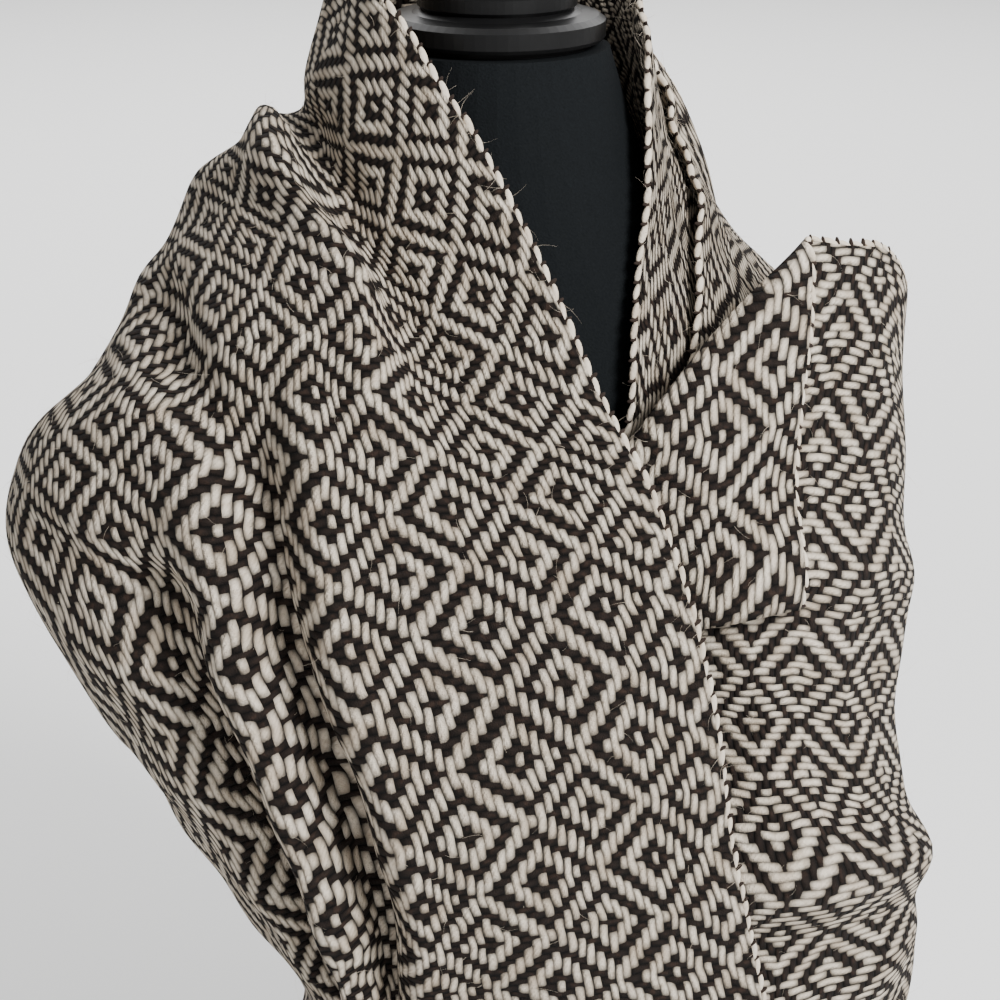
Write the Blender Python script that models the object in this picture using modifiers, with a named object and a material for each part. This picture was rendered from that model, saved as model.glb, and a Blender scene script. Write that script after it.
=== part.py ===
"""A wool rebozo wrapped twice round a dress form.

Metres, +Z up. The form stands on its flat base at the origin and faces -Y.
The shawl is one woven strip. A place on it is given as a station along the strip,
counted in pattern repeats, and a share across it, 0 at the selvedge that lies
at the neck and 1 at the other.
"""

import math

import bmesh
import bpy
import numpy as np

# The strip, as it was woven.
STRIP_WIDTH = 0.560
REPEAT_LENGTH = 0.065
FIRST_STATION = -4.5
LAST_STATION = 34.4
CLOTH_THICKNESS = 0.003
LAYER_GAP = 0.012
ROWS = 104

# Shares of the columns. They lie closer together where the deep folds run.
COLUMN_SHARES = (
    0.0, 0.055, 0.11, 0.165, 0.215, 0.26, 0.295, 0.325, 0.355, 0.385, 0.415, 0.45, 0.5,
    0.55, 0.60, 0.65, 0.70, 0.75, 0.80, 0.85, 0.90, 0.95, 1.0)

# The last corner of the strip is folded over along a slanting line.
FLAP_ROWS = 8
FLAP_SHARE = 0.60
FLAP_GAP = 0.011

# The body under the cloth: height, half width, half depth.
BODY_LEVELS = (
    (0.000, 0.112, 0.094),
    (0.100, 0.106, 0.090),
    (0.200, 0.092, 0.080),
    (0.280, 0.086, 0.076),
    (0.360, 0.101, 0.086),
    (0.440, 0.130, 0.104),
    (0.510, 0.152, 0.113),
    (0.560, 0.160, 0.112),
    (0.590, 0.150, 0.104),
    (0.610, 0.131, 0.096),
    (0.630, 0.111, 0.088),
    (0.650, 0.095, 0.081),
    (0.670, 0.083, 0.075),
    (0.690, 0.074, 0.069),
    (0.715, 0.066, 0.063),
    (0.745, 0.057, 0.057),
)
BODY_SIDES = 40

# The bed that the layers are measured from lies a little outside the body,
# and goes on past the top of the neck.
BED_CLEARANCE = 0.002
BED_TOP = (0.820, 0.066, 0.068)

# The turned cap: radius and height above its own foot, from the top centre down.
CAP_PROFILE = (
    (0.0000, 0.0750),
    (0.0090, 0.0735),
    (0.0155, 0.0680),
    (0.0175, 0.0600),
    (0.0150, 0.0520),
    (0.0120, 0.0460),
    (0.0160, 0.0420),
    (0.0300, 0.0400),
    (0.0380, 0.0370),
    (0.0395, 0.0330),
    (0.0370, 0.0300),
    (0.0405, 0.0270),
    (0.0405, 0.0205),
    (0.0385, 0.0185),
    (0.0430, 0.0165),
    (0.0515, 0.0155),
    (0.0550, 0.0130),
    (0.0550, 0.0050),
    (0.0535, 0.0030),
    (0.0480, 0.0025),
    (0.0480, 0.0000),
    (0.0000, 0.0000),
)
CAP_SEGMENTS = 64
PIECE_GAP = 0.0003

# Front and left part of the strip: station, then x, y, z at five shares.
FRONT_SHARES = (0.0, 0.15, 0.30, 0.66, 1.0)
FRONT_SECTIONS = (
    (-4.5, (0.150, -0.115, 0.115), (0.072, -0.142, 0.110), (-0.012, -0.145, 0.110),
     (-0.086, -0.104, 0.115), (-0.120, 0.060, 0.130)),
    (-2.5, (0.139, -0.135, 0.262), (0.055, -0.152, 0.264), (-0.034, -0.152, 0.262),
     (-0.098, -0.098, 0.250), (-0.112, 0.060, 0.250)),
    (-1.0, (0.117, -0.150, 0.370), (0.039, -0.165, 0.366), (-0.043, -0.165, 0.345),
     (-0.144, -0.092, 0.319), (-0.142, 0.075, 0.295)),
    (0.0, (0.106, -0.155, 0.442), (0.028, -0.170, 0.433), (-0.059, -0.170, 0.416),
     (-0.175, -0.100, 0.378), (-0.168, 0.080, 0.325)),
    (1.0, (0.089, -0.158, 0.513), (0.011, -0.170, 0.501), (-0.077, -0.170, 0.486),
     (-0.208, -0.100, 0.437), (-0.195, 0.085, 0.352)),
    (2.0, (0.070, -0.151, 0.563), (-0.006, -0.160, 0.556), (-0.085, -0.165, 0.549),
     (-0.239, -0.095, 0.510), (-0.212, 0.075, 0.410)),
    (3.0, (0.048, -0.137, 0.602), (-0.025, -0.135, 0.597), (-0.092, -0.142, 0.604),
     (-0.243, -0.060, 0.543), (-0.220, 0.102, 0.418)),
    (4.0, (0.021, -0.106, 0.657), (-0.038, -0.108, 0.632), (-0.097, -0.110, 0.646),
     (-0.223, 0.000, 0.557), (-0.206, 0.132, 0.410)),
    (5.0, (-0.008, -0.086, 0.710), (-0.060, -0.084, 0.668), (-0.115, -0.060, 0.676),
     (-0.195, 0.050, 0.564), (-0.177, 0.160, 0.400)),
    (6.0, (-0.039, -0.068, 0.754), (-0.078, -0.048, 0.700), (-0.126, -0.008, 0.697),
     (-0.156, 0.100, 0.565), (-0.133, 0.194, 0.386)),
    (7.0, (-0.065, -0.030, 0.786), (-0.096, 0.000, 0.722), (-0.120, 0.048, 0.690),
     (-0.112, 0.152, 0.552), (-0.086, 0.206, 0.376)),
    (8.0, (-0.076, 0.022, 0.790), (-0.094, 0.052, 0.722), (-0.098, 0.094, 0.668),
     (-0.062, 0.168, 0.538), (-0.034, 0.206, 0.382)),
    (9.1, (-0.030, 0.080, 0.788), (-0.028, 0.098, 0.718), (-0.024, 0.126, 0.655),
     (-0.006, 0.172, 0.540), (0.018, 0.198, 0.400)),
)

# The doubled band on the right shoulder, where the strip turns over itself.
# Station, share at the turn, then azimuth, height and stand-off in millimetres of the
# inner selvedge, the inner middle, the turn, the outer middle and the outer selvedge.
BAND_SECTIONS = (
    (9.6, 0.84, (163, 0.787, 19), (163, 0.640, 44), (161, 0.440, 76),
     (160, 0.434, 92), (158, 0.456, 106)),
    (11.0, 0.72, (150, 0.786, 19), (150, 0.645, 32), (148, 0.455, 66),
     (145, 0.520, 76), (141, 0.600, 64)),
    (12.6, 0.62, (124, 0.775, 18), (126, 0.650, 17), (128, 0.500, 42),
     (125, 0.600, 33), (119, 0.727, 27)),
    (13.4, 0.59, (111, 0.768, 18), (115, 0.648, 12), (120, 0.530, 29),
     (115, 0.615, 22), (107, 0.714, 22)),
    (14.2, 0.57, (98, 0.758, 17), (105, 0.645, 10), (111, 0.550, 20),
     (104, 0.625, 18), (96, 0.698, 20)),
    (15.0, 0.54, (78, 0.732, 15), (86, 0.645, 10), (96, 0.580, 16),
     (88, 0.628, 18), (82, 0.678, 20)),
    (15.8, 0.55, (60, 0.692, 13), (66, 0.625, 9), (84, 0.552, 15),
     (71, 0.612, 19), (71, 0.662, 21)),
    (16.6, 0.56, (45, 0.655, 11), (54, 0.585, 5), (70, 0.490, 15),
     (58, 0.575, 19), (55, 0.635, 18)),
    (17.4, 0.56, (30, 0.615, 9), (42, 0.530, 6), (56, 0.420, 19),
     (46, 0.525, 20), (41, 0.605, 17)),
    (18.3, 0.54, (22, 0.570, 9), (32, 0.475, 8), (42, 0.355, 27),
     (35, 0.470, 21), (30, 0.572, 17)),
    (19.1, 0.42, (12, 0.510, 8), (18, 0.430, 9), (24, 0.310, 36),
     (21, 0.425, 22), (16, 0.535, 17)),
    (19.9, 0.27, (-6, 0.440, 8), (0, 0.360, 10), (2, 0.285, 30),
     (-2, 0.410, 22), (-4, 0.530, 15)),
    (20.8, 0.07, (-27, 0.292, 5), (-27, 0.281, 12), (-28, 0.270, 28),
     (-28, 0.400, 20), (-26, 0.530, 13)),
)

# Share at the middle column on the way to the band and on the way from it.
BAND_APPROACH = ((6.0, 9.1), (0.50, 0.78))
BAND_LEAVE = ((20.8, 25.9), (0.10, 0.50))

# The pass round the left side and the back, inside the first wrap: station,
# azimuth, heights of the top and the lower edge, stand-offs in millimetres.
PASS_SECTIONS = (
    (21.8, -58, 0.530, 0.275, 12, 12),
    (23.0, -92, 0.540, 0.280, 12, 10),
    (24.4, -132, 0.540, 0.275, 12, 12),
    (25.9, -178, 0.535, 0.250, 12, 16),
    (27.3, -222, 0.530, 0.190, 12, 40),
)

# Right part of the strip: station, then x, y, z at five shares.
SIDE_SHARES = (0.0, 0.25, 0.45, 0.65, 1.0)
SIDE_SECTIONS = (
    (28.2, (0.150, 0.070, 0.135), (0.172, 0.078, 0.250), (0.180, 0.078, 0.345),
     (0.182, 0.072, 0.430), (0.168, 0.060, 0.532)),
    (29.2, (0.215, 0.010, 0.108), (0.234, 0.008, 0.236), (0.224, 0.004, 0.322),
     (0.222, 0.006, 0.432), (0.211, 0.026, 0.585)),
    (30.2, (0.196, -0.045, 0.108), (0.222, -0.052, 0.242), (0.206, -0.062, 0.342),
     (0.195, -0.065, 0.455), (0.203, -0.022, 0.640)),
    (31.2, (0.146, -0.090, 0.110), (0.165, -0.102, 0.246), (0.155, -0.116, 0.366),
     (0.141, -0.116, 0.477), (0.166, -0.062, 0.657)),
    (32.2, (0.096, -0.112, 0.114), (0.108, -0.124, 0.250), (0.101, -0.128, 0.369),
     (0.091, -0.130, 0.480), (0.108, -0.098, 0.672)),
    (34.4, (-0.012, -0.120, 0.124), (-0.012, -0.128, 0.255), (-0.016, -0.134, 0.366),
     (-0.022, -0.144, 0.470), (-0.012, -0.120, 0.668)),
)

# Folds laid on the strip: station and share where each starts and ends, half
# width and height, all but the places in millimetres. A trough has a height below 0.
FOLDS = (
    ("collar trough", 2.8, 0.150, 8.0, 0.200, 20, -10),
    ("collar ridge", 2.4, 0.215, 7.0, 0.268, 21, 22),
    ("front edge", -3.4, 0.300, 4.8, 0.296, 13, 7),
    ("long valley", -3.8, 0.350, 3.2, 0.350, 17, -24),
    ("upper valley", 2.0, 0.345, 4.6, 0.500, 17, -15),
    ("cape swell", 3.9, 0.540, 7.8, 0.430, 42, 11),
    ("narrow ridge", -4.2, 0.412, 3.4, 0.405, 18, 12),
    ("under valley", -4.4, 0.480, 2.2, 0.465, 24, -26),
    ("side crease", 1.2, 0.40, 2.2, 0.62, 14, -7),
    ("back flute", 4.0, 0.95, 6.4, 0.45, 34, -14),
    ("middle flute", 6.6, 1.00, 8.2, 0.40, 34, 12),
    ("low flute", 8.0, 1.00, 9.0, 0.50, 30, -12),
    ("side trough", 28.6, 0.700, 33.6, 0.700, 20, -8),
    ("side swell", 28.8, 0.550, 33.6, 0.550, 34, 8),
    ("side turn", 28.4, 0.400, 33.6, 0.395, 24, -20),
)


def hermite(places, values, queries):
    """Values of a smooth curve through the given rows, at the queried places."""
    places = np.asarray(places, float)
    values = np.asarray(values, float)
    slopes = np.gradient(values, places, axis=0)
    index = np.clip(np.searchsorted(places, queries, side="right") - 1, 0, len(places) - 2)
    span = (places[index + 1] - places[index])
    part = (queries - places[index]) / span
    shape = (-1,) + (1,) * (values.ndim - 1)
    part = part.reshape(shape)
    span = span.reshape(shape)
    start = 2 * part**3 - 3 * part**2 + 1
    end = 3 * part**2 - 2 * part**3
    leave = (part**3 - 2 * part**2 + part) * span
    arrive = (part**3 - part**2) * span
    return (start * values[index] + end * values[index + 1]
            + leave * slopes[index] + arrive * slopes[index + 1])


def bed_point(azimuth, height):
    """Point of the bed. Azimuth 0 is the front and grows towards +X."""
    levels = np.array(BODY_LEVELS + (BED_TOP,))
    half = hermite(levels[:, 0], levels[:, 1:], np.atleast_1d(height)) + BED_CLEARANCE
    angle = np.radians(azimuth)
    return np.stack([half[:, 0] * np.sin(angle), -half[:, 1] * np.cos(angle),
                     np.atleast_1d(height)], axis=-1)


def off_bed(azimuth, height, stand_off):
    """Point that stands off the bed along its normal."""
    azimuth, height, stand_off = np.broadcast_arrays(
        np.atleast_1d(azimuth).astype(float), height, stand_off)
    turn = 0.5
    rise = 0.003
    around = bed_point(azimuth + turn, height) - bed_point(azimuth - turn, height)
    upward = bed_point(azimuth, height + rise) - bed_point(azimuth, height - rise)
    normal = np.cross(around, upward)
    normal /= np.linalg.norm(normal, axis=-1, keepdims=True)
    return bed_point(azimuth, height) + normal * stand_off[:, None]


def rounded(distance, radius):
    """0 at a turn, 1 past the given radius, round in between."""
    part = np.clip(distance / radius, 0.0, 1.0)
    return np.sqrt(1.0 - (1.0 - part)**2)


def column_shares(middle_share, columns):
    """Shares at the columns when the middle column lies at the given share."""
    half = 0.5
    return np.where(columns <= half, columns / half * middle_share,
                    middle_share + (columns - half) / half * (1.0 - middle_share))


def band_section(turn_share, places, columns):
    """Points and shares of a section that turns over itself at its middle column."""
    half = 0.5
    inner = columns <= half
    shares = column_shares(turn_share, columns)
    inner_edge, inner_middle, turn, outer_middle, outer_edge = np.array(places, float)
    side = np.array((0.0, 0.0, LAYER_GAP * 1000 / 2))
    inner_path = hermite((0.0, 0.25, half), (inner_edge, inner_middle, turn - side), columns)
    outer_path = hermite((half, 0.75, 1.0), (turn + side, outer_middle, outer_edge), columns)
    path = np.where(inner[:, None], inner_path, outer_path)
    metres = np.abs(shares - turn_share) * STRIP_WIDTH
    stand_off = turn[2] + (path[:, 2] - turn[2]) * rounded(metres, LAYER_GAP / 2)
    return off_bed(path[:, 0], path[:, 1], stand_off / 1000), shares


def pass_section(azimuth, top, bottom, top_off, bottom_off, shares):
    """Points of a section of the hidden pass, its lower edge first."""
    height = bottom + (top - bottom) * shares
    stand_off = (bottom_off + (top_off - bottom_off) * shares) / 1000
    return off_bed(azimuth, height, stand_off)


def strip_sections(columns):
    """Stations, points and shares of all sections, in order along the strip."""
    stations = []
    points = []
    shares = []
    for station, *row in FRONT_SECTIONS:
        stations.append(station)
        section_shares = column_shares(np.interp(station, *BAND_APPROACH), columns)
        points.append(hermite(FRONT_SHARES, row, section_shares))
        shares.append(section_shares)
    for station, turn_share, *places in BAND_SECTIONS:
        section, section_shares = band_section(turn_share, places, columns)
        stations.append(station)
        points.append(section)
        shares.append(section_shares)
    for station, azimuth, top, bottom, top_off, bottom_off in PASS_SECTIONS:
        stations.append(station)
        section_shares = column_shares(np.interp(station, *BAND_LEAVE), columns)
        points.append(pass_section(azimuth, top, bottom, top_off, bottom_off, section_shares))
        shares.append(section_shares)
    for station, *row in SIDE_SECTIONS:
        stations.append(station)
        points.append(hermite(SIDE_SHARES, row, columns))
        shares.append(columns)
    return np.array(stations), np.array(points), np.array(shares)


def surface_normals(grid):
    """Unit normals of a grid of points, out of the pattern's face side."""
    along = np.gradient(grid, axis=0)
    across = np.gradient(grid, axis=1)
    normals = np.cross(along, across)
    return normals / np.linalg.norm(normals, axis=-1, keepdims=True)


def fold_heights(stations, shares):
    """Height of all folds at every point, in metres."""
    along = stations * REPEAT_LENGTH
    across = shares * STRIP_WIDTH
    total = np.zeros_like(across)
    for name, from_station, from_share, to_station, to_share, half_width, height in FOLDS:
        start = np.array((from_station * REPEAT_LENGTH, from_share * STRIP_WIDTH))
        end = np.array((to_station * REPEAT_LENGTH, to_share * STRIP_WIDTH))
        length = np.linalg.norm(end - start)
        direction = (end - start) / length
        run = (along - start[0]) * direction[0] + (across - start[1]) * direction[1]
        away = (across - start[1]) * direction[0] - (along - start[0]) * direction[1]
        part = np.clip(run / length, 0.0, 1.0)
        ends = np.sin(np.pi * part)**0.6
        width = half_width / 1000
        total += height / 1000 * ends * np.exp(-(away / width)**2)
    return total


def fold_flap(grid, shares, row_length):
    """Turn the last corner of the strip over onto the layer below it."""
    rows = len(grid) - 1
    first = rows - FLAP_ROWS * rows // ROWS
    reach = (rows - first) * row_length
    slope = math.atan2((1.0 - FLAP_SHARE) * STRIP_WIDTH, reach)
    radius = FLAP_GAP / 2
    normals = surface_normals(grid)
    result = grid.copy()
    for row in range(first, rows + 1):
        for column in range(grid.shape[1]):
            along = (row - first) * row_length
            across = (shares[row, column] - 1.0) * STRIP_WIDTH
            beyond = along * math.sin(slope) + across * math.cos(slope)
            if beyond <= 1e-9:
                continue
            angle = min(beyond / radius, math.pi)
            moved = beyond - radius * math.sin(angle) + max(beyond - math.pi * radius, 0.0)
            from_row = first + (along - moved * math.sin(slope)) / row_length
            from_share = 1.0 + (across - moved * math.cos(slope)) / STRIP_WIDTH
            lower = int(min(max(math.floor(from_row), 0), rows - 1))
            part = from_row - lower
            place = np.zeros(3)
            normal = np.zeros(3)
            for near, weight in ((lower, 1.0 - part), (lower + 1, part)):
                for axis in range(3):
                    place[axis] += weight * np.interp(from_share, shares[near], grid[near, :, axis])
                    normal[axis] += weight * np.interp(from_share, shares[near], normals[near, :, axis])
            # The side's outer face is the strip's reverse, so outwards is against the normal.
            lift = radius * (1.0 - math.cos(angle))
            result[row, column] = place - normal / np.linalg.norm(normal) * lift
    return result


def strip_grid(columns, rows):
    """Points of the whole strip on a grid of rows and columns."""
    columns = np.asarray(columns, float)
    stations, points, shares = strip_sections(columns)
    queries = np.linspace(FIRST_STATION, LAST_STATION, rows + 1)
    grid = hermite(stations, points, queries)
    share_grid = hermite(stations, shares, queries)
    heights = fold_heights(queries[:, None], share_grid)
    grid = grid + surface_normals(grid) * heights[..., None]
    row_length = (LAST_STATION - FIRST_STATION) * REPEAT_LENGTH / rows
    return fold_flap(grid, share_grid, row_length), share_grid


def new_material(name, color, roughness, metallic=0.0):
    """Plain Principled material."""
    material = bpy.data.materials.new(name)
    material.use_nodes = True
    shader = material.node_tree.nodes["Principled BSDF"]
    shader.inputs["Base Color"].default_value = (*color, 1.0)
    shader.inputs["Roughness"].default_value = roughness
    shader.inputs["Metallic"].default_value = metallic
    return material


def new_object(name, mesh_builder, collection, material):
    """Object from a filled bmesh."""
    mesh = bpy.data.meshes.new(name)
    mesh_builder.to_mesh(mesh)
    mesh_builder.free()
    mesh.materials.append(material)
    piece = bpy.data.objects.new(name, mesh)
    collection.objects.link(piece)
    return piece


def make_rebozo(collection, columns=COLUMN_SHARES, rows=ROWS):
    """The shawl: a grid laid on the drape, then given its thickness."""
    grid, share_grid = strip_grid(columns, rows)
    across = len(columns) - 1
    cloth = bmesh.new()
    bmesh.ops.create_grid(cloth, x_segments=rows, y_segments=across, size=0.5)
    cloth.verts.ensure_lookup_table()
    for vert in cloth.verts:
        row = round((vert.co.x + 0.5) * rows)
        column = round((vert.co.y + 0.5) * across)
        vert.co = grid[row, column]
    bmesh.ops.triangulate(cloth, faces=cloth.faces[:], quad_method="ALTERNATE")
    wool = new_material("woven_wool", (0.42, 0.38, 0.33), 0.9)
    piece = new_object("rebozo", cloth, collection, wool)
    piece.data.shade_smooth()
    solidify = piece.modifiers.new("cloth thickness", "SOLIDIFY")
    solidify.thickness = CLOTH_THICKNESS
    solidify.offset = 0.0
    solidify.use_even_offset = False
    solidify.use_quality_normals = True
    return piece


def make_form_body(collection):
    """The dress form: ellipses extruded one above the other, ends filled."""
    body = bmesh.new()
    ring = bmesh.ops.create_circle(body, cap_ends=True, segments=BODY_SIDES, radius=1.0)["verts"]
    base_height, half_width, half_depth = BODY_LEVELS[0]
    for vert in ring:
        vert.co = (vert.co.x * half_width, vert.co.y * half_depth, base_height)
    faces = body.faces[:]
    height_below = base_height
    for height, next_width, next_depth in BODY_LEVELS[1:]:
        extruded = bmesh.ops.extrude_face_region(body, geom=faces)["geom"]
        if base_height != height_below:
            bmesh.ops.delete(body, geom=faces, context="FACES_ONLY")
        ring = [item for item in extruded if isinstance(item, bmesh.types.BMVert)]
        faces = [item for item in extruded if isinstance(item, bmesh.types.BMFace)]
        for vert in ring:
            vert.co = (vert.co.x * next_width / half_width,
                       vert.co.y * next_depth / half_depth, height)
        half_width = next_width
        half_depth = next_depth
        height_below = height
    bmesh.ops.recalc_face_normals(body, faces=body.faces[:])
    cover = new_material("form_cover", (0.012, 0.016, 0.018), 0.8)
    piece = new_object("form_body", body, collection, cover)
    piece.data.shade_smooth()
    piece.data.set_sharp_from_angle(angle=math.radians(50))
    return piece


def make_neck_cap(collection):
    """The turned cap, a profile spun round the neck's axis."""
    profile = bmesh.new()
    points = [profile.verts.new((radius, 0.0, height)) for radius, height in CAP_PROFILE]
    for first, second in zip(points, points[1:]):
        profile.edges.new((first, second))
    black = new_material("neck_cap", (0.01, 0.01, 0.011), 0.35)
    piece = new_object("neck_cap", profile, collection, black)
    piece.location.z = BODY_LEVELS[-1][0] + PIECE_GAP
    screw = piece.modifiers.new("turned", "SCREW")
    screw.steps = CAP_SEGMENTS
    screw.render_steps = CAP_SEGMENTS
    screw.use_merge_vertices = True
    screw.merge_threshold = 0.00005
    screw.use_smooth_shade = True
    return piece


def main():
    for item in list(bpy.data.objects):
        bpy.data.objects.remove(item, do_unlink=True)
    collection = bpy.data.collections.new("rebozo on dress form")
    bpy.context.scene.collection.children.link(collection)
    make_form_body(collection)
    make_neck_cap(collection)
    make_rebozo(collection)


main()
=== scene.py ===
import math

import bmesh
import bpy
import numpy as np
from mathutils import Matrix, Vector


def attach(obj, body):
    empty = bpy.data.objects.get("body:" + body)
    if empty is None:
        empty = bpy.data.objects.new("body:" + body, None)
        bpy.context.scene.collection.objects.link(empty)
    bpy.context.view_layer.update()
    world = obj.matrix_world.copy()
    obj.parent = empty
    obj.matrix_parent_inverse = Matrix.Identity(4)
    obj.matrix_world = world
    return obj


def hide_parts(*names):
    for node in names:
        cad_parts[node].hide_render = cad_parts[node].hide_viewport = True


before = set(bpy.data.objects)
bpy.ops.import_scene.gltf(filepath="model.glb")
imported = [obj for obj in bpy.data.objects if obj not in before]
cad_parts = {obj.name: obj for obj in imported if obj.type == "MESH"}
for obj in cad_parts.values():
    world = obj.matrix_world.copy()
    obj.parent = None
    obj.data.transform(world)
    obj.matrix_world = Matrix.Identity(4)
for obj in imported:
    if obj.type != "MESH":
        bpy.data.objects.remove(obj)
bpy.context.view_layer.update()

# A place on the strip is a station along it, in pattern repeats, and a share across it.
# Share 0 is the selvedge at the neck. Azimuth 0 is the front and grows towards +X.
cloth = {
    "width": 0.560,
    "repeatLength": 0.065,
    "firstStation": -4.5,
    "lastStation": 34.4,
    "thickness": 0.0036,
    "layerGap": 0.012,
    "rows": 468,
    "columns": 90,
    "flapRows": 36,
    "flapShare": 0.60,
    "flapGap": 0.011,
    "bedClearance": 0.002,
    "bandApproach": ((6.0, 9.1), (0.50, 0.78)),  # stations, shares of the middle column
    "bandLeave": ((20.8, 25.9), (0.10, 0.50)),
    "foldEnds": 0.6,  # below 1, a fold keeps its height nearly to its ends
    "waveHeight": 0.0011,
}
middle = 0.5  # the column that the band turns at

# Bed under the layers: height, half width, half depth.
bedLevels = (
    (0.000, 0.112, 0.094),
    (0.100, 0.106, 0.090),
    (0.200, 0.092, 0.080),
    (0.280, 0.086, 0.076),
    (0.360, 0.101, 0.086),
    (0.440, 0.130, 0.104),
    (0.510, 0.152, 0.113),
    (0.560, 0.160, 0.112),
    (0.590, 0.150, 0.104),
    (0.610, 0.131, 0.096),
    (0.630, 0.111, 0.088),
    (0.650, 0.095, 0.081),
    (0.670, 0.083, 0.075),
    (0.690, 0.074, 0.069),
    (0.715, 0.066, 0.063),
    (0.745, 0.057, 0.057),
    (0.820, 0.066, 0.068),
)

# Front and left part: station, then x, y, z at five shares.
frontShares = (0.0, 0.15, 0.30, 0.66, 1.0)
frontSections = (
    (-4.5, (0.150, -0.115, 0.115), (0.072, -0.142, 0.110), (-0.012, -0.145, 0.110),
     (-0.086, -0.104, 0.115), (-0.120, 0.060, 0.130)),
    (-2.5, (0.139, -0.135, 0.262), (0.055, -0.152, 0.264), (-0.034, -0.152, 0.262),
     (-0.098, -0.098, 0.250), (-0.112, 0.060, 0.250)),
    (-1.0, (0.117, -0.150, 0.370), (0.039, -0.165, 0.366), (-0.043, -0.165, 0.345),
     (-0.144, -0.092, 0.319), (-0.142, 0.075, 0.295)),
    (0.0, (0.106, -0.155, 0.442), (0.028, -0.170, 0.433), (-0.059, -0.170, 0.416),
     (-0.175, -0.100, 0.378), (-0.168, 0.080, 0.325)),
    (1.0, (0.089, -0.158, 0.513), (0.011, -0.170, 0.501), (-0.077, -0.170, 0.486),
     (-0.208, -0.100, 0.437), (-0.195, 0.085, 0.352)),
    (2.0, (0.070, -0.151, 0.563), (-0.006, -0.160, 0.556), (-0.085, -0.165, 0.549),
     (-0.239, -0.095, 0.510), (-0.212, 0.075, 0.410)),
    (3.0, (0.048, -0.137, 0.602), (-0.025, -0.135, 0.597), (-0.092, -0.142, 0.604),
     (-0.243, -0.060, 0.543), (-0.220, 0.102, 0.418)),
    (4.0, (0.021, -0.106, 0.657), (-0.038, -0.108, 0.632), (-0.097, -0.110, 0.646),
     (-0.223, 0.000, 0.557), (-0.206, 0.132, 0.410)),
    (5.0, (-0.008, -0.086, 0.710), (-0.060, -0.084, 0.668), (-0.115, -0.060, 0.676),
     (-0.195, 0.050, 0.564), (-0.177, 0.160, 0.400)),
    (6.0, (-0.039, -0.068, 0.754), (-0.078, -0.048, 0.700), (-0.126, -0.008, 0.697),
     (-0.156, 0.100, 0.565), (-0.133, 0.194, 0.386)),
    (7.0, (-0.065, -0.030, 0.786), (-0.096, 0.000, 0.722), (-0.120, 0.048, 0.690),
     (-0.112, 0.152, 0.552), (-0.086, 0.206, 0.376)),
    (8.0, (-0.076, 0.022, 0.790), (-0.094, 0.052, 0.722), (-0.098, 0.094, 0.668),
     (-0.062, 0.168, 0.538), (-0.034, 0.206, 0.382)),
    (9.1, (-0.030, 0.080, 0.788), (-0.028, 0.098, 0.718), (-0.024, 0.126, 0.655),
     (-0.006, 0.172, 0.540), (0.018, 0.198, 0.400)),
)

# Doubled band: station, share at the turn, then azimuth, height and stand-off in
# millimetres of the inner selvedge, inner middle, turn, outer middle, outer selvedge.
bandSections = (
    (9.6, 0.84, (163, 0.787, 19), (163, 0.640, 44), (161, 0.440, 76),
     (160, 0.434, 92), (158, 0.456, 106)),
    (11.0, 0.72, (150, 0.786, 19), (150, 0.645, 32), (148, 0.455, 66),
     (145, 0.520, 76), (141, 0.600, 64)),
    (12.6, 0.62, (124, 0.775, 18), (126, 0.650, 17), (128, 0.500, 42),
     (125, 0.600, 33), (119, 0.727, 27)),
    (13.4, 0.59, (111, 0.768, 18), (115, 0.648, 12), (120, 0.530, 29),
     (115, 0.615, 22), (107, 0.714, 22)),
    (14.2, 0.57, (98, 0.758, 17), (105, 0.645, 10), (111, 0.550, 20),
     (104, 0.625, 18), (96, 0.698, 20)),
    (15.0, 0.54, (78, 0.732, 15), (86, 0.645, 10), (96, 0.580, 16),
     (88, 0.628, 18), (82, 0.678, 20)),
    (15.8, 0.55, (60, 0.692, 13), (66, 0.625, 9), (84, 0.552, 15),
     (71, 0.612, 19), (71, 0.662, 21)),
    (16.6, 0.56, (45, 0.655, 11), (54, 0.585, 5), (70, 0.490, 15),
     (58, 0.575, 19), (55, 0.635, 18)),
    (17.4, 0.56, (30, 0.615, 9), (42, 0.530, 6), (56, 0.420, 19),
     (46, 0.525, 20), (41, 0.605, 17)),
    (18.3, 0.54, (22, 0.570, 9), (32, 0.475, 8), (42, 0.355, 27),
     (35, 0.470, 21), (30, 0.572, 17)),
    (19.1, 0.42, (12, 0.510, 8), (18, 0.430, 9), (24, 0.310, 36),
     (21, 0.425, 22), (16, 0.535, 17)),
    (19.9, 0.27, (-6, 0.440, 8), (0, 0.360, 10), (2, 0.285, 30),
     (-2, 0.410, 22), (-4, 0.530, 15)),
    (20.8, 0.07, (-27, 0.292, 5), (-27, 0.281, 12), (-28, 0.270, 28),
     (-28, 0.400, 20), (-26, 0.530, 13)),
)

# Hidden pass: station, azimuth, heights of top and lower edge, their stand-offs.
passSections = (
    (21.8, -58, 0.530, 0.275, 12, 12),
    (23.0, -92, 0.540, 0.280, 12, 10),
    (24.4, -132, 0.540, 0.275, 12, 12),
    (25.9, -178, 0.535, 0.250, 12, 16),
    (27.3, -222, 0.530, 0.190, 12, 40),
)

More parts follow.
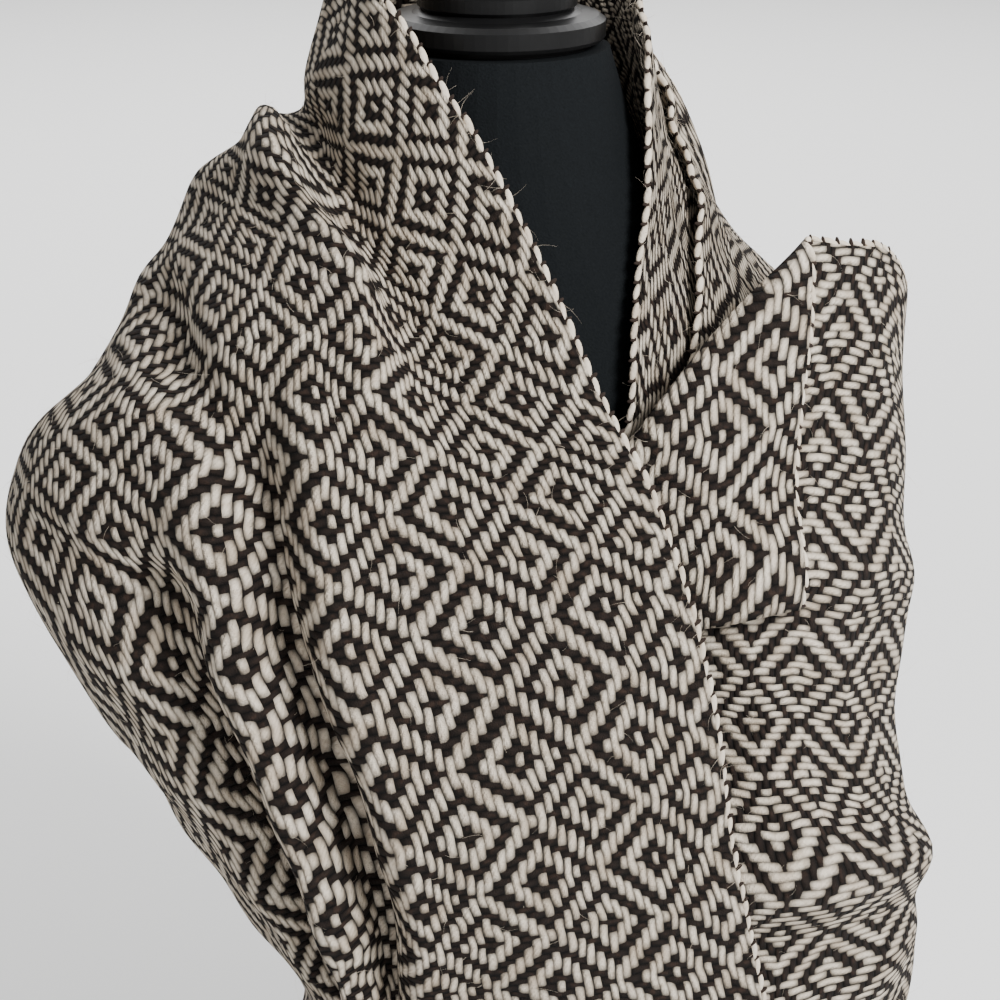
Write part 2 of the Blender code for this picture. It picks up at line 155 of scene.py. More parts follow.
# Right part: station, then x, y, z at five shares.
sideShares = (0.0, 0.25, 0.45, 0.65, 1.0)
sideSections = (
    (28.2, (0.150, 0.070, 0.135), (0.172, 0.078, 0.250), (0.180, 0.078, 0.345),
     (0.182, 0.072, 0.430), (0.168, 0.060, 0.532)),
    (29.2, (0.215, 0.010, 0.108), (0.234, 0.008, 0.236), (0.224, 0.004, 0.322),
     (0.222, 0.006, 0.432), (0.211, 0.026, 0.585)),
    (30.2, (0.196, -0.045, 0.108), (0.222, -0.052, 0.242), (0.206, -0.062, 0.342),
     (0.195, -0.065, 0.455), (0.203, -0.022, 0.640)),
    (31.2, (0.146, -0.090, 0.110), (0.165, -0.102, 0.246), (0.155, -0.116, 0.366),
     (0.141, -0.116, 0.477), (0.166, -0.062, 0.657)),
    (32.2, (0.096, -0.112, 0.114), (0.108, -0.124, 0.250), (0.101, -0.128, 0.369),
     (0.091, -0.130, 0.480), (0.108, -0.098, 0.672)),
    (34.4, (-0.012, -0.120, 0.124), (-0.012, -0.128, 0.255), (-0.016, -0.134, 0.366),
     (-0.022, -0.144, 0.470), (-0.012, -0.120, 0.668)),
)

# Folds: from station and share, to station and share, half width and height in mm.
folds = (
    ("collar trough", 2.8, 0.150, 8.0, 0.200, 20, -10),
    ("collar ridge", 2.4, 0.215, 7.0, 0.268, 21, 22),
    ("front edge", -3.4, 0.300, 4.8, 0.296, 13, 7),
    ("long valley", -3.8, 0.350, 3.2, 0.350, 17, -24),
    ("upper valley", 2.0, 0.345, 4.6, 0.500, 17, -15),
    ("cape swell", 3.9, 0.540, 7.8, 0.430, 42, 11),
    ("narrow ridge", -4.2, 0.412, 3.4, 0.405, 18, 12),
    ("under valley", -4.4, 0.480, 2.2, 0.465, 24, -26),
    ("side crease", 1.2, 0.40, 2.2, 0.62, 14, -7),
    ("back flute", 4.0, 0.95, 6.4, 0.45, 34, -14),
    ("middle flute", 6.6, 1.00, 8.2, 0.40, 34, 12),
    ("low flute", 8.0, 1.00, 9.0, 0.50, 30, -12),
    ("side trough", 28.6, 0.700, 33.6, 0.700, 20, -8),
    ("side swell", 28.8, 0.550, 33.6, 0.550, 34, 8),
    ("side turn", 28.4, 0.400, 33.6, 0.395, 24, -20),
)

# Small creases that the eye sees and the solid doesn't need, in the same columns.
creases = (
    ("neck crease", 3.4, 0.040, 5.2, 0.120, 12, -2.5),
    ("chest dimple", 0.6, 0.200, 2.4, 0.140, 22, -2.5),
    ("chest swell", -0.6, 0.110, 1.6, 0.060, 26, 2.0),
    ("low swell", -2.8, 0.200, 0.4, 0.230, 30, 2.5),
    ("valley core", -3.2, 0.352, 2.8, 0.352, 9, -7),
    ("under core", -3.6, 0.476, 1.8, 0.464, 11, -6),
    ("shoulder crease", 3.2, 0.44, 5.6, 0.50, 16, -4),
    ("elbow crease", 0.6, 0.52, 2.4, 0.72, 18, 4),
    ("hip crease", -1.6, 0.56, 0.4, 0.70, 18, -4),
    ("side crease low", 29.4, 0.30, 32.0, 0.24, 16, -3),
    ("side crease high", 29.6, 0.84, 31.4, 0.78, 14, -2.5),
    ("back crease", 7.0, 0.30, 9.2, 0.62, 22, -5),
    ("cape crease", 5.4, 0.34, 7.8, 0.80, 20, 4),
)

# Slow waves of the cloth: radians a metre along and across, and where each starts.
slowWaves = (
    (61, 23, 0.3),
    (37, -41, 1.9),
    (-29, 67, 4.1),
    (83, 52, 2.7),
    (-97, 31, 5.2),
)


def unit(vectors):
    return vectors / np.linalg.norm(vectors, axis=-1, keepdims=True)


def hermite(places, values, queries):
    # A smooth curve through the values.
    places = np.asarray(places, float)
    values = np.asarray(values, float)
    slopes = np.gradient(values, places, axis=0)
    index = np.clip(np.searchsorted(places, queries, side="right") - 1, 0, len(places) - 2)
    span = places[index + 1] - places[index]
    part = (queries - places[index]) / span
    shape = (-1,) + (1,) * (values.ndim - 1)
    part = part.reshape(shape)
    span = span.reshape(shape)
    start = 2 * part**3 - 3 * part**2 + 1
    end = 3 * part**2 - 2 * part**3
    leave = (part**3 - 2 * part**2 + part) * span
    arrive = (part**3 - part**2) * span
    return (start * values[index] + end * values[index + 1]
            + leave * slopes[index] + arrive * slopes[index + 1])


def bedPoint(azimuth, height):
    levels = np.array(bedLevels)
    half = hermite(levels[:, 0], levels[:, 1:], np.atleast_1d(height)) + cloth["bedClearance"]
    angle = np.radians(azimuth)
    return np.stack([half[:, 0] * np.sin(angle), -half[:, 1] * np.cos(angle),
                     np.atleast_1d(height)], axis=-1)


def offBed(azimuth, height, standOff):
    # A place that stands off the bed, square to its surface.
    azimuth, height, standOff = np.broadcast_arrays(
        np.atleast_1d(azimuth).astype(float), height, standOff)
    turn = 0.5  # degrees
    rise = 0.003
    around = bedPoint(azimuth + turn, height) - bedPoint(azimuth - turn, height)
    upward = bedPoint(azimuth, height + rise) - bedPoint(azimuth, height - rise)
    normal = unit(np.cross(around, upward))
    return bedPoint(azimuth, height) + normal * standOff[:, None]


def rounded(distance, radius):
    part = np.clip(distance / radius, 0.0, 1.0)
    return np.sqrt(1.0 - (1.0 - part)**2)


def columnShares(middleShare, columns):
    return np.where(columns <= middle, columns / middle * middleShare,
                    middleShare + (columns - middle) / middle * (1.0 - middleShare))


def bandSection(turnShare, places, columns):
    # One layer up to the turn, and the other back over it.
    inner = columns <= middle
    shares = columnShares(turnShare, columns)
    innerEdge, innerMiddle, turn, outerMiddle, outerEdge = np.array(places, float)
    side = np.array((0.0, 0.0, cloth["layerGap"] * 1000 / 2))
    innerPath = hermite((0.0, middle / 2, middle), (innerEdge, innerMiddle, turn - side), columns)
    outerPath = hermite((middle, (middle + 1.0) / 2, 1.0), (turn + side, outerMiddle, outerEdge),
                        columns)
    path = np.where(inner[:, None], innerPath, outerPath)
    metres = np.abs(shares - turnShare) * cloth["width"]
    standOff = turn[2] + (path[:, 2] - turn[2]) * rounded(metres, cloth["layerGap"] / 2)
    return offBed(path[:, 0], path[:, 1], standOff / 1000), shares


def passSection(azimuth, top, bottom, topOff, bottomOff, shares):
    height = bottom + (top - bottom) * shares
    standOff = (bottomOff + (topOff - bottomOff) * shares) / 1000
    return offBed(azimuth, height, standOff)


def stripSections(columns):
    rows = []
    for station, *row in frontSections:
        shares = columnShares(np.interp(station, *cloth["bandApproach"]), columns)
        rows.append((station, hermite(frontShares, row, shares), shares))
    for station, turnShare, *places in bandSections:
        section, shares = bandSection(turnShare, places, columns)
        rows.append((station, section, shares))
    for station, azimuth, *heights in passSections:
        shares = columnShares(np.interp(station, *cloth["bandLeave"]), columns)
        rows.append((station, passSection(azimuth, *heights, shares), shares))
    for station, *row in sideSections:
        rows.append((station, hermite(sideShares, row, columns), columns))
    return [np.array(part) for part in zip(*rows)]


def gridNormals(grid):
    return unit(np.cross(np.gradient(grid, axis=0), np.gradient(grid, axis=1)))


def foldHeights(table, stations, shares):
    along = stations * cloth["repeatLength"]
    across = shares * cloth["width"]
    scale = np.array((cloth["repeatLength"], cloth["width"]))
    total = np.zeros_like(across)
    for _, fromStation, fromShare, toStation, toShare, halfWidth, height in table:
        start = np.array((fromStation, fromShare)) * scale
        end = np.array((toStation, toShare)) * scale
        length = np.linalg.norm(end - start)
        direction = (end - start) / length
        run = (along - start[0]) * direction[0] + (across - start[1]) * direction[1]
        away = (across - start[1]) * direction[0] - (along - start[0]) * direction[1]
        ends = np.sin(np.pi * np.clip(run / length, 0.0, 1.0))**cloth["foldEnds"]
        total += height / 1000 * ends * np.exp(-(away * 1000 / halfWidth)**2)
    return total


def unevenness(stations, shares):
    # A hand-woven cloth never lies quite smooth.
    along = stations * cloth["repeatLength"]
    across = shares * cloth["width"]
    total = sum(np.sin(along * lengthRate + across * widthRate + start)
                for lengthRate, widthRate, start in slowWaves)
    return total * cloth["waveHeight"] / 2


def foldFlap(grid, shares, rowLength):
    # The last corner is rolled over and lies back on the cloth.
    rows = len(grid) - 1
    first = rows - cloth["flapRows"]
    reach = (rows - first) * rowLength
    slope = math.atan2((1.0 - cloth["flapShare"]) * cloth["width"], reach)
    radius = cloth["flapGap"] / 2
    tiny = 1e-9
    normals = gridNormals(grid)
    result = grid.copy()
    for row in range(first, rows + 1):
        for column in range(grid.shape[1]):
            along = (row - first) * rowLength
            across = (shares[row, column] - 1.0) * cloth["width"]
            beyond = along * math.sin(slope) + across * math.cos(slope)
            if beyond <= tiny:
                continue
            angle = min(beyond / radius, math.pi)
            moved = beyond - radius * math.sin(angle) + max(beyond - math.pi * radius, 0.0)
            fromRow = first + (along - moved * math.sin(slope)) / rowLength
            fromShare = 1.0 + (across - moved * math.cos(slope)) / cloth["width"]
            lower = int(min(max(math.floor(fromRow), 0), rows - 1))
            part = fromRow - lower
            place = np.zeros(3)
            normal = np.zeros(3)
            for near, weight in ((lower, 1.0 - part), (lower + 1, part)):
                for axis in range(3):
                    place[axis] += weight * np.interp(fromShare, shares[near], grid[near, :, axis])
                    normal[axis] += weight * np.interp(fromShare, shares[near],
                                                       normals[near, :, axis])
            lift = radius * (1.0 - math.cos(angle))
            result[row, column] = place - normal / np.linalg.norm(normal) * lift
    return result


def stripGrid():
    columns = np.linspace(0.0, 1.0, cloth["columns"] + 1)
    stations, points, shares = stripSections(columns)
    queries = np.linspace(cloth["firstStation"], cloth["lastStation"], cloth["rows"] + 1)
    grid = hermite(stations, points, queries)
    shareGrid = hermite(stations, shares, queries)
    stationGrid = np.broadcast_to(queries[:, None], shareGrid.shape)
    heights = foldHeights(folds, stationGrid, shareGrid)
    grid = grid + gridNormals(grid) * heights[..., None]
    small = foldHeights(creases, stationGrid, shareGrid) + unevenness(stationGrid, shareGrid)
    grid = grid + gridNormals(grid) * small[..., None]
    rowLength = (queries[1] - queries[0]) * cloth["repeatLength"]
    return foldFlap(grid, shareGrid, rowLength), shareGrid


class Wire:
    # A shader value that plain arithmetic works on.

    def __init__(self, tree, socket):
        self.tree = tree
        self.socket = socket

    def math(self, operation, *others, first=None):
        node = self.tree.nodes.new("ShaderNodeMath")
        node.operation = operation
        values = (self, *others) if first is None else (first, self)
        for slot, value in zip(node.inputs, values):
            if isinstance(value, Wire):
                self.tree.links.new(value.socket, slot)
            else:
                slot.default_value = value
        return Wire(self.tree, node.outputs[0])

    def __add__(self, other):
        return self.math("ADD", other)

    def __sub__(self, other):
        return self.math("SUBTRACT", other)

    def __rsub__(self, other):
        return self.math("SUBTRACT", first=other)

    def __mul__(self, other):
        return self.math("MULTIPLY", other)

    def __truediv__(self, other):
        return self.math("DIVIDE", other)

    def __pow__(self, other):
        return self.math("POWER", other)

    __radd__ = __add__
    __rmul__ = __mul__

    def wrap(self, size):
        return self.math("FLOORED_MODULO", size)

    def clipped(self):
        return self.math("MAXIMUM", 0.0).math("MINIMUM", 1.0)


class Paint:
    # A Principled material, with one method that adds any node to it.

    def __init__(self, name, roughness, specular):
        self.material = bpy.data.materials.new(name)
        self.material.use_nodes = True
        self.tree = self.material.node_tree
        self.shader = self.tree.nodes["Principled BSDF"]
        self.shader.inputs["Roughness"].default_value = roughness
        self.shader.inputs["Specular IOR Level"].default_value = specular

    def add(self, kind, inputs=None, output=0, **settings):
        node = self.tree.nodes.new(kind)
        for name, value in settings.items():
            setattr(node, name, value)
        self.feed(node, inputs or {})
        return Wire(self.tree, node.outputs[output])

    def feed(self, node, inputs):
        for name, value in inputs.items():
            if isinstance(value, Wire):
                self.tree.links.new(value.socket, node.inputs[name])
            else:
                node.inputs[name].default_value = value

    def finish(self, **inputs):
        names = {"color": "Base Color", "normal": "Normal", "roughness": "Roughness"}
        self.feed(self.shader, {names[key]: value for key, value in inputs.items()})
        return self.material

    def noise(self, vector, scale, detail):
        return self.add("ShaderNodeTexNoise", {"Vector": vector, "Scale": scale, "Detail": detail})

    def marks(self, vector, scale, detail, level, contrast):
        # Spots where the noise rises over the level.
        return ((self.noise(vector, scale, detail) - level) * contrast).clipped()

    def blend(self, factor, first, second, kind="MIX"):
        # A Mix node's sockets 6 and 7 take the colours, and its output 2 gives one.
        node = self.tree.nodes.new("ShaderNodeMix")
        node.data_type = "RGBA"
        node.blend_type = kind
        self.feed(node, {0: factor, 6: first, 7: second})
        return Wire(self.tree, node.outputs[2])

    def parts(self, vector):
        node = self.tree.nodes.new("ShaderNodeSeparateXYZ")
        self.feed(node, {0: vector})
        return [Wire(self.tree, output) for output in node.outputs]

    def bump(self, height, distance, strength=1.0):
        return self.add("ShaderNodeBump",
                        {"Height": height, "Distance": distance, "Strength": strength})


def opaque(color):
    return (*color, 1.0)


weave = {
    "cells": 14,  # yarns to a repeat, both ways
    "twill": 4,  # crossings after which over and under start again
    "repeatAcross": 0.059,
    "firstCentre": 0.042,  # from the neck selvedge to the middle of its first diamonds
    "warpWidth": 1.17,  # widths, reaches and jitter are in cells
    "warpReach": 1.42,
    "warpSquareness": 2.8,
    "weftWidth": 1.02,
    "weftReach": 1.16,
    "weftHeight": 0.68,
    "lean": 0.12,
    "jitter": 0.30,
    "relief": 0.0034,
    "edgeContrast": 7,  # how sharply the cream floats end at the dark ones
    "fibreEdge": 0.3,
    "fibreRelief": 0.22,
    "twistAcross": 1.6,  # turns of the fibres across and along one cell
    "twistAlong": 1.35,
    "twistDrift": 4,  # radians
    "twistRelief": 0.045,
    # painted shade in the grooves of the twist and between the floats, multiplied into the colour
    "twistShade": 0.07,
    "gapLight": 0.04,  # painted shade: what is left of the colour deep between the floats
    "gapFall": 2.2,
    "roughness": 0.92,
    "specular": 0.18,
    "cream": (0.720, 0.635, 0.520),
    "creamDull": (0.490, 0.405, 0.310),
    "dark": (0.032, 0.0215, 0.017),
    "darkRed": (0.060, 0.036, 0.026),
    "fleckStrength": 0.45,
    "patchStrength": 0.5,
}
# Noises of the wool: scale and detail.
woolNoises = {
    "wander": (95.0, 0.0),
    "sway": (80.0, 0.0),
    "fibre": (1500.0, 1.0),
    "twist": (700.0, 0.0),
}
# Marks in the wool: scale and detail of the noise, level and contrast.
woolMarks = {
    "wear": (55.0, 1.0, 0.40, 3.2),
    "fleck": (420.0, 1.0, 0.56, 9.0),
    "patch": (210.0, 1.0, 0.45, 4.0),
    "redness": (260.0, 1.0, 0.52, 7.0),
}
swayShift = (3.1, 7.7, 0.0)  # keeps the sway of the ends apart from the wander of the picks


def yarnNumbers(paint, place):
    # Which pick and which end lies at a place. Hand-spun yarns wander a little.
    across, along, _ = paint.parts(place)
    wander = paint.noise(place, *woolNoises["wander"])
    shifted = paint.add("ShaderNodeVectorMath", {0: place, 1: swayShift})
    sway = paint.noise(shifted, *woolNoises["sway"])
    picks = (along * (weave["cells"] / cloth["repeatLength"])
             + (wander - 0.5) * (weave["jitter"] * 2))
    ends = ((across - weave["firstCentre"]) * (weave["cells"] / weave["repeatAcross"])
            + (sway - 0.5) * (weave["jitter"] * 2))
    return picks, ends


def diamondFloats(picks, ends, side):
    # Heights of the warp and weft floats. What shows at a crossing of this diamond twill
    # hangs on the sum of two zigzags, and the back of the cloth shows the other set.
    pick = (picks + 0.5).math("FLOOR")
    end = (ends + 0.5).math("FLOOR")
    offPick = picks - pick
    offEnd = ends - end
    half = weave["cells"] / 2
    zigPicks, zigPick, zigEnds, zigEnd = (
        value.math("PINGPONG", half) for value in (picks, pick, ends, end))
    twill = weave["twill"]
    warpRun = (zigPicks + zigEnd + side * (twill / 2) + (twill / 2 + 0.5)).wrap(twill) - twill / 2
    weftRun = (zigPick + zigEnds + side * (twill / 2) + 0.5).wrap(twill) - twill / 2

    leaning = (offEnd + warpRun * weave["lean"]) * (2 / weave["warpWidth"])
    warpEnds = 1 - (warpRun / weave["warpReach"]).math("ABSOLUTE")**weave["warpSquareness"]
    warpSides = (1 - leaning**2).clipped()
    warp = (warpEnds.clipped() * warpSides)**0.5
    weftEnds = (1 - (weftRun / weave["weftReach"])**2).clipped()
    weftSides = (1 - (offPick * (2 / weave["weftWidth"]))**2).clipped()
    weft = (weftEnds * weftSides)**0.5 * weave["weftHeight"]
    return warp, weft, offEnd


def creamWool(paint, place):
    cream = paint.blend(paint.marks(place, *woolMarks["wear"]), opaque(weave["cream"]),
                        opaque(weave["creamDull"]))
    cream = paint.blend(paint.marks(place, *woolMarks["fleck"]) * weave["fleckStrength"], cream,
                        opaque(weave["creamDull"]))
    return paint.blend(paint.marks(place, *woolMarks["patch"]) * weave["patchStrength"], cream,
                       opaque(weave["creamDull"]))


def weaveMaterial():
    paint = Paint("woven wool", weave["roughness"], weave["specular"])
    place = paint.add("ShaderNodeUVMap", uv_map="weave")
    side = paint.add("ShaderNodeAttribute", output="Fac", attribute_name="side")
    picks, ends = yarnNumbers(paint, place)
    warp, weft, offEnd = diamondFloats(picks, ends, side)
    fibre = paint.noise(place, *woolNoises["fibre"]) - 0.5
    shows = (warp - weft + fibre * weave["fibreEdge"]) * weave["edgeContrast"] + 0.5
    shows = shows.clipped()
    height = warp.math("MAXIMUM", weft)

    # Twisted fibres run slantwise over each yarn.
    twist = (offEnd * weave["twistAcross"] + picks * weave["twistAlong"]) * (2 * math.pi)
    drift = (paint.noise(place, *woolNoises["twist"]) - 0.5) * weave["twistDrift"]
    twistMarks = (twist + drift).math("SINE")
    relief = height + twistMarks * weave["twistRelief"] * shows + fibre * weave["fibreRelief"]

    dark = paint.blend(paint.marks(place, *woolMarks["redness"]), opaque(weave["dark"]),
                       opaque(weave["darkRed"]))
    color = paint.blend(shows, dark, creamWool(paint, place))
    # Painted shade: the colour is darkened deep between the plump floats and in the grooves of the
    # twist, where little light gets in.
    paintedShade = (weave["gapLight"] + height**weave["gapFall"]).clipped()
    paintedShade = paintedShade * (1.0 - (twistMarks * -weave["twistShade"] * shows).clipped())
    shade = paint.add("ShaderNodeCombineXYZ", {0: paintedShade, 1: paintedShade, 2: paintedShade})
    color = paint.blend(1.0, color, shade, "MULTIPLY")
    return paint.finish(color=color, normal=paint.bump(relief, weave["relief"]))


yarn = {
    "tone": (60.0, 3.0, 0.40, 3.0),  # scale, detail, level, contrast
    "fibre": (700.0, 3.0),
    "relief": 0.0006,
    "dark": (0.022, 0.015, 0.012),
}


def yarnMaterial(name, color, dull):
    paint = Paint(name, weave["roughness"], weave["specular"])
    place = paint.add("ShaderNodeTexCoord", output="Object")
    mixed = paint.blend(paint.marks(place, *yarn["tone"]), opaque(color), opaque(dull))
    normal = paint.bump(paint.noise(place, *yarn["fibre"]), yarn["relief"])
    return paint.finish(color=mixed, normal=normal)


def linkMesh(mesh, materials):
    for material in materials:
        mesh.materials.append(material)
    mesh.shade_smooth()
    piece = bpy.data.objects.new(mesh.name, mesh)
    bpy.context.scene.collection.objects.link(piece)
    return piece


def linkBuild(name, build, material):
    mesh = bpy.data.meshes.new(name)
    build.to_mesh(mesh)
    build.free()
    return linkMesh(mesh, [material])


def makeCloth(grid, shareGrid, material):
    # Both faces and the rim of the strip, closed, with metres across and along it as its UV.
    rows, columns = cloth["rows"], cloth["columns"]
    build = bmesh.new()
    half = 0.5
    bmesh.ops.create_grid(build, x_segments=rows, y_segments=columns, size=half)
    build.verts.ensure_lookup_table()
    uv = build.loops.layers.uv.new("weave")
    build.verts.layers.float.new("side")
    spots = {}
    for vert in build.verts:
        row = round((vert.co.x + half) * rows)
        column = round((vert.co.y + half) * columns)
        spots[vert] = (row, column)
        vert.co = grid[row, column]
    first, last = cloth["firstStation"], cloth["lastStation"]
    for face in build.faces:
        for loop in face.loops:
            row, column = spots[loop.vert]
            station = first + (last - first) * row / rows
            loop[uv].uv = (shareGrid[row, column] * cloth["width"],
                           station * cloth["repeatLength"])
    bmesh.ops.triangulate(build, faces=build.faces[:], quad_method="ALTERNATE")
    piece = linkBuild("woven_rebozo", build, material)
    thicken(piece)
    return piece


def thicken(piece):
    # Solidify puts the vertices of the second face after those of the first.
    solidify = piece.modifiers.new("thickness", "SOLIDIFY")
    solidify.thickness = cloth["thickness"]
    solidify.offset = 0.0
    solidify.use_even_offset = False
    solidify.use_quality_normals = True
    bpy.context.view_layer.update()
    firstFace = len(piece.data.vertices)
    made = bpy.data.meshes.new_from_object(
        piece.evaluated_get(bpy.context.evaluated_depsgraph_get()))
    piece.modifiers.clear()
    piece.data = made
    sides = np.zeros(len(made.vertices), np.float32)
    sides[firstFace:] = 1.0
    made.attributes["side"].data.foreach_set("value", sides)
    made.shade_smooth()


selvedge = {
    "beadStep": 0.0050,
    "beadLength": 0.0104,
    "beadRadius": 0.0019,
    "slant": 13,  # degrees, from the line of the edge
    "darkSlant": 72,
    "darkSize": 0.62,
    "darkEvery": 2,
    "sizeSpread": (0.90, 1.12),
    "outset": 0.0006,
    "outsetSpread": (-0.0003, 0.0004),
    "rings": 6,
    "sides": 8,
    "seed": 11,
}


def edgePath(grid, column):
    # Points every beadStep along one selvedge, with the way out of the cloth's edge.
    points = grid[:, column]
    inward = grid[:, 1] - grid[:, 0] if column == 0 else grid[:, -2] - grid[:, -1]
    steps = np.linalg.norm(np.diff(points, axis=0), axis=1)
    reach = np.concatenate(([0.0], np.cumsum(steps)))
    queries = np.arange(selvedge["beadStep"] / 2, reach[-1], selvedge["beadStep"])
    place, turned = (
        np.stack([np.interp(queries, reach, values[:, axis]) for axis in range(3)], axis=-1)
        for values in (points, inward))
    return place, unit(np.gradient(place, axis=0)), unit(-turned)


def shapeOf(build):
    # Points and faces of a bmesh, which is freed.
    build.verts.index_update()
    points = np.array([vert.co for vert in build.verts])
    faces = [[vert.index for vert in face.verts] for face in build.faces]
    build.free()
    return points, faces


def linkCopies(name, copies, faces, materials, numbers):
    # One mesh of many placed copies of a shape, each with the number of its material.
    size = copies.shape[1]
    mesh = bpy.data.meshes.new(name)
    every = [[corner + size * copy for corner in face]
             for copy in range(len(copies)) for face in faces]
    mesh.from_pydata(copies.reshape(-1, 3).tolist(), [], every)
    piece = linkMesh(mesh, materials)
    mesh.polygons.foreach_set("material_index", np.repeat(numbers, len(faces)))
    return piece


def makeSelvedges(grid, creamYarn, darkYarn):
    # A plump float is a ball drawn out along its yarn.
    build = bmesh.new()
    bmesh.ops.create_uvsphere(
        build, u_segments=selvedge["sides"], v_segments=selvedge["rings"], radius=1.0)
    ball, faces = shapeOf(build)
    draw = np.random.default_rng(selvedge["seed"])
    copies = []
    numbers = []
    for column in (0, cloth["columns"]):
        place, ahead, out = edgePath(grid, column)
        out = unit(out - ahead * (out * ahead).sum(-1, keepdims=True))
        isDark = np.arange(len(place)) % selvedge["darkEvery"] == 1
        slant = np.radians(np.where(isDark, selvedge["darkSlant"], selvedge["slant"]))[:, None]
        way = ahead * np.cos(slant) + out * np.sin(slant)
        side = unit(out - way * (way * out).sum(-1, keepdims=True))
        up = np.cross(way, side)
        size = draw.uniform(*selvedge["sizeSpread"], len(place))
        smaller = np.where(isDark, selvedge["darkSize"], 1.0)
        length = selvedge["beadLength"] / 2 * smaller * size
        radius = selvedge["beadRadius"] * smaller * size
        spread = draw.uniform(*selvedge["outsetSpread"], (len(place), 1))
        centre = place + out * (selvedge["outset"] + spread)
        copies.append(centre[:, None]
                      + ball[None, :, 2:3] * (way * length[:, None])[:, None]
                      + ball[None, :, 0:1] * (side * radius[:, None])[:, None]
                      + ball[None, :, 1:2] * (up * radius[:, None])[:, None])
        numbers.append(isDark.astype(np.int32))
    return linkCopies("selvedge_floats", np.concatenate(copies), faces, [creamYarn, darkYarn],
                      np.concatenate(numbers))


fuzz = {
    "hairs": 5200,
    "edgeHairs": 900,  # more of them, on the two selvedges
    "length": (0.004, 0.015),
    "shortening": (0.5, 1.0),
    "radius": 0.00007,
    "rise": (0.15, 0.9),  # how steeply a strand leaves the cloth
    "sideBend": (-1.0, 1.0),
    "liftBend": (-0.6, 0.4),
    "curl": 0.7,
    "taper": 0.7,
    "parts": 4,
    "sides": 3,
    "clearRows": 2,  # left free at both hems
    "seed": 29,
}


def makeFuzz(grid, creamYarn):
    # Thin strands that curl away from the cloth.
    draw = np.random.default_rng(fuzz["seed"])
    normals = gridNormals(grid)
    rows, columns = cloth["rows"], cloth["columns"]
    parts, sides = fuzz["parts"], fuzz["sides"]
    count = fuzz["hairs"] + fuzz["edgeHairs"]
    row = draw.integers(fuzz["clearRows"], rows - fuzz["clearRows"], count)
    column = draw.integers(1, columns, count)
    column[fuzz["hairs"]:] = draw.choice((0, columns), fuzz["edgeHairs"])
    out = normals[row, column] * draw.choice((-1, 1), (count, 1))
    along = unit(grid[row + 1, column] - grid[row - 1, column])
    angle = draw.uniform(0, 2 * math.pi, (count, 1))
    flat = along * np.cos(angle) + unit(np.cross(out, along)) * np.sin(angle)
    way = unit(out * draw.uniform(*fuzz["rise"], (count, 1)) + flat)
    bend = (np.cross(flat, out) * draw.uniform(*fuzz["sideBend"], (count, 1))
            + out * draw.uniform(*fuzz["liftBend"], (count, 1)))
    bend = unit(bend - way * (way * bend).sum(-1, keepdims=True))
    side = np.cross(way, bend)
    length = draw.uniform(*fuzz["length"], (count, 1))
    length = length * draw.uniform(*fuzz["shortening"], (count, 1))
    root = grid[row, column] + out * cloth["thickness"] / 2
    rings = []
    for step in range(parts + 1):
        share = step / parts
        centre = root + way * (length * share) + bend * (length * share**2 * fuzz["curl"])
        radius = fuzz["radius"] * (1.0 - fuzz["taper"] * share)
        for corner in range(sides):
            turn = corner * 2 * math.pi / sides
            rings.append(centre + (side * math.cos(turn) + bend * math.sin(turn)) * radius)
    lastRing = sides * parts
    faces = [list(range(sides))[::-1], list(range(lastRing, lastRing + sides))]
    for ring in range(0, lastRing, sides):
        for corner in range(sides):
            following = (corner + 1) % sides
            faces.append([ring + corner, ring + following,
                          ring + sides + following, ring + sides + corner])
    return linkCopies("stray_fibres", np.stack(rings, axis=1), faces, [creamYarn],
                      np.zeros(count, np.int32))


cover = {
    "noise": (900.0, 2.0),
    "deep": (0.0035, 0.0042, 0.0048),
    "pale": (0.0085, 0.0100, 0.0112),
    "roughness": 0.90,
    "specular": 0.08,
    "relief": 0.0006,
    "reliefStrength": 0.7,
}
cap = {
    "noise": (40.0, 3.0),
    "deep": (0.0035, 0.0035, 0.0038),
    "pale": (0.008, 0.008, 0.008),
    "roughness": 0.28,
    "roughnessSpread": 0.16,
    "specular": 0.25,
}
sharpAngle = math.radians(42)  # steeper edges of the form and its cap stay sharp


def coverMaterial():
    paint = Paint("form cover", cover["roughness"], cover["specular"])
    place = paint.add("ShaderNodeTexCoord", output="Object")
    tone = paint.noise(place, *cover["noise"])
    color = paint.blend(tone, opaque(cover["deep"]), opaque(cover["pale"]))
    normal = paint.bump(tone, cover["relief"], cover["reliefStrength"])
    return paint.finish(color=color, normal=normal)


def capMaterial():
    paint = Paint("black cap", cap["roughness"], cap["specular"])
    place = paint.add("ShaderNodeTexCoord", output="Object")
    tone = paint.noise(place, *cap["noise"])
    color = paint.blend(tone, opaque(cap["deep"]), opaque(cap["pale"]))
    return paint.finish(color=color, roughness=cap["roughness"] + cap["roughnessSpread"] * tone)


def dress(node, material):
    node.data.materials.clear()
    node.data.materials.append(material)
    node.data.shade_smooth()
    node.data.set_sharp_from_angle(angle=sharpAngle)


camera = {
    "target": (0.0, 0.0, 0.5),
    "distance": 1.30,
    "elevation": 20.0,
    "lens": 86.67,
    "sensor": 36.0,
    "shift": 0.003,
}
stage = {
    "floorHalf": 6.0,
    "floorColor": (0.93, 0.93, 0.925),
    "floorRoughness": 0.9,
    "floorSpecular": 0.1,
    "skyColor": (1.0, 1.0, 1.0),
    "skyStrength": 0.30,
}
# Lamps: name, power, size, place and aim.
lamps = (
    ("key", 79.0, 0.6, (1.05, -1.30, 1.75), camera["target"]),
    ("fill", 2.5, 0.6, (-1.4, -1.0, 1.3), camera["target"]),
    ("backdrop", 260.0, 5.0, (0.0, 3.2, 2.6), (0.0, 3.2, 0.0)),
)


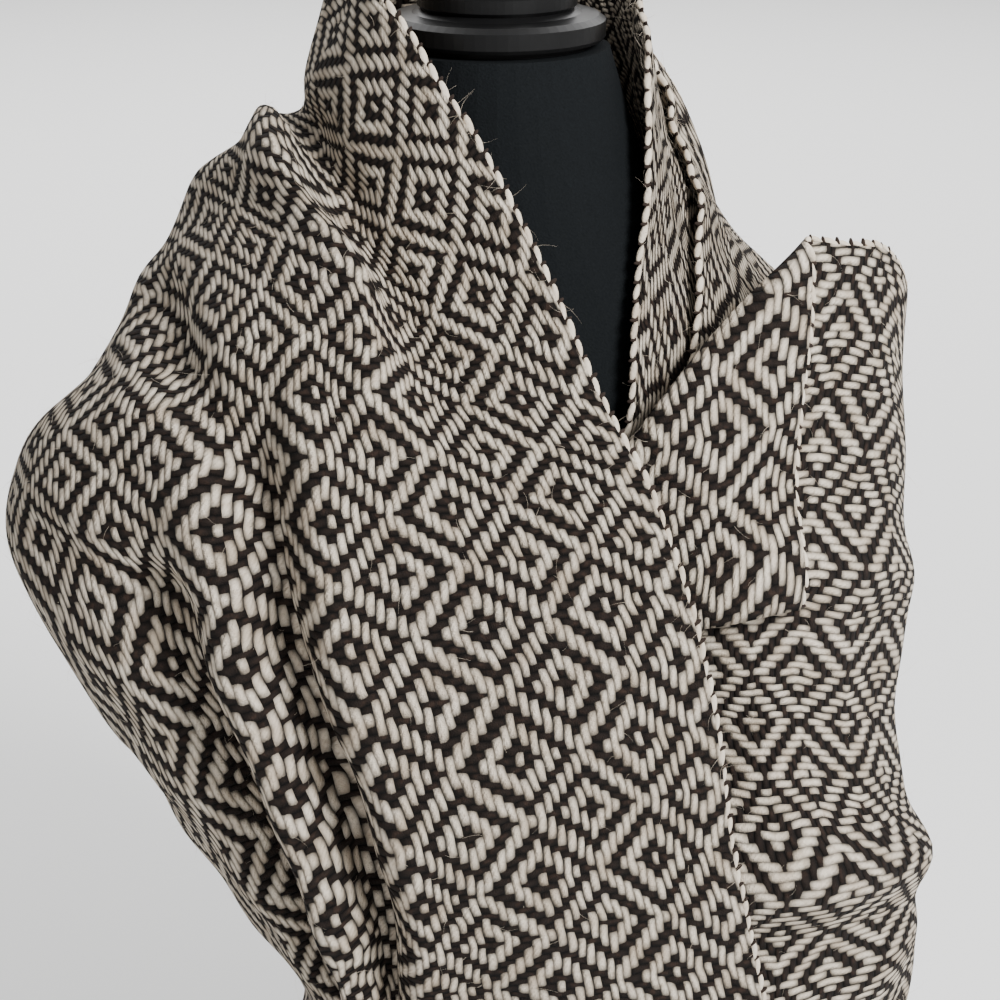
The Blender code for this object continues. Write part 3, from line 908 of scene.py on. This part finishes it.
def makeFloor():
    build = bmesh.new()
    bmesh.ops.create_grid(build, x_segments=1, y_segments=1, size=stage["floorHalf"])
    paint = Paint("floor", stage["floorRoughness"], stage["floorSpecular"])
    floor = linkBuild("floor", build, paint.finish(color=opaque(stage["floorColor"])))


def makeLight():
    world = bpy.data.worlds.new("studio")
    world.use_nodes = True
    bpy.context.scene.world = world
    background = world.node_tree.nodes["Background"]
    background.inputs["Color"].default_value = opaque(stage["skyColor"])
    background.inputs["Strength"].default_value = stage["skyStrength"]
    for name, power, size, place, goal in lamps:
        lamp = bpy.data.lights.new(name, "AREA")
        lamp.energy = power
        lamp.size = size
        holder = bpy.data.objects.new(name, lamp)
        holder.location = place
        aim = Vector(goal) - holder.location
        holder.rotation_euler = aim.to_track_quat("-Z", "Y").to_euler()
        bpy.context.scene.collection.objects.link(holder)


def makeCamera():
    lens = bpy.data.cameras.new("camera")
    lens.lens = camera["lens"]
    lens.sensor_width = camera["sensor"]
    lens.shift_x = camera["shift"]
    holder = bpy.data.objects.new("camera", lens)
    rise = math.radians(camera["elevation"])
    away = Vector((0.0, -math.cos(rise), math.sin(rise)))
    holder.location = Vector(camera["target"]) + away * camera["distance"]
    holder.rotation_euler = (-away).to_track_quat("-Z", "Y").to_euler()
    bpy.context.scene.collection.objects.link(holder)
    bpy.context.scene.camera = holder


def main():
    print("drape")
    grid, shareGrid = stripGrid()
    print("cloth")
    sheet = makeCloth(grid, shareGrid, weaveMaterial())
    print("selvedges")
    creamYarn = yarnMaterial("cream yarn", weave["cream"], weave["creamDull"])
    darkYarn = yarnMaterial("dark yarn", yarn["dark"], weave["dark"])
    edges = makeSelvedges(grid, creamYarn, darkYarn)
    print("fibres")
    hairs = makeFuzz(grid, creamYarn)
    for piece in (sheet, edges, hairs):
        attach(piece, "root")
    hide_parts("rebozo")
    print("form")
    dress(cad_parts["form_body"], coverMaterial())
    dress(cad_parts["neck_cap"], capMaterial())
    print("stage")
    makeFloor()
    makeLight()
    makeCamera()


main()
